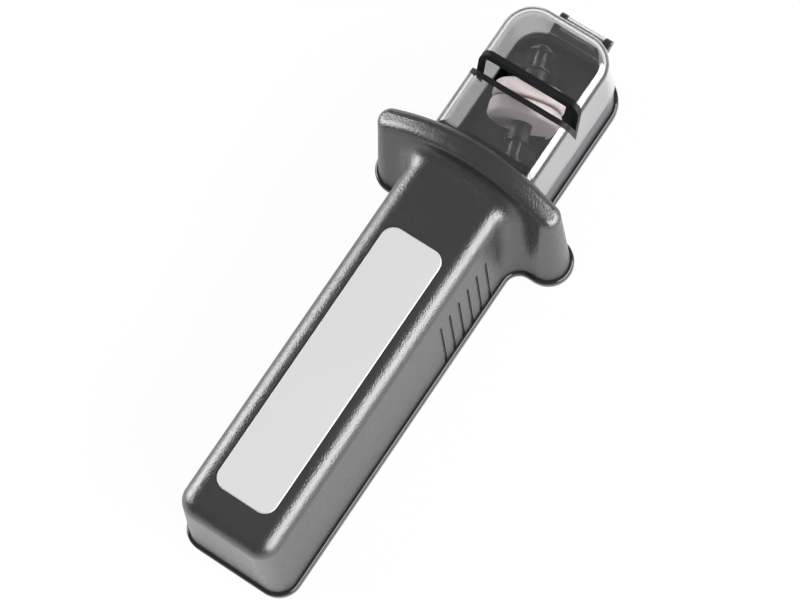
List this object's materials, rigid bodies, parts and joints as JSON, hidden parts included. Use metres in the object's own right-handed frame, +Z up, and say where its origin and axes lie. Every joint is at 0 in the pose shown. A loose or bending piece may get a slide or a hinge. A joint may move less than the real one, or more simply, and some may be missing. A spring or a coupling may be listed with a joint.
{
  "type": "manual knife sharpener",
  "caption": "Pull-through knife sharpener: long black grip with a hand guard, and ceramic wheels on a slanted axle over a water tray under a hinged clear lid with a blade slot.",
  "frame": {"origin": "on the table under the middle of the sharpener's outline", "axes": "+X across the grip, +Y from the tail of the grip to the tip of the head, +Z up from the table"},
  "size_m": [0.0772, 0.2158, 0.052],
  "materials": {
    "rim_black": "smooth glossy black moulding",
    "grip_black": "fine-grained black moulding",
    "plate_satin": "bare satin plate",
    "tape_white": "double-sided adhesive tape",
    "tray_black": "smooth black moulding",
    "clear_lid": "clear, faintly smoky moulding",
    "bright_steel": "ground steel",
    "ceramic_pink": "fine pinkish-white abrasive ceramic",
    "hub_black": "smooth black moulding",
    "dark_steel": "blackened steel",
    "foot_rubber": "soft matt rubber"
  },
  "bodies": {
    "housing": {"base_plate": "rim_black", "handle_shell": "grip_black", "nameplate": "plate_satin", "nameplate_tape": "tape_white", "wheel_tray": "tray_black", "cover_hinge_pin": "bright_steel", "front_bearing": "hub_black", "rear_bearing": "hub_black", "shell_screws": "dark_steel", "tray_screws": "dark_steel", "bearing_screws": "dark_steel", "rubber_feet": "foot_rubber"},
    "roller": {"axle": "dark_steel", "front_wheel": "ceramic_pink", "rear_wheel": "ceramic_pink", "wheel_spacer": "hub_black", "front_collar": "hub_black", "rear_collar": "hub_black", "thrust_washers": "hub_black", "axle_clips": "dark_steel"},
    "lid": {"head_cover": "clear_lid", "slot_lining": "rim_black"}
  },
  "joints": [
    {"name": "wheel_spin", "type": "hinge", "parent": "housing", "child": "roller", "pos_m": [0, 0.07189, 0.0245], "axis": [-0.3123, 0.95, 0], "continuous": true},
    {"name": "lid_hinge", "type": "hinge", "parent": "housing", "child": "lid", "pos_m": [0, 0.1057, 0.0169], "axis": [-1, 0, 0], "range_deg": [0, 105]}
  ]
}
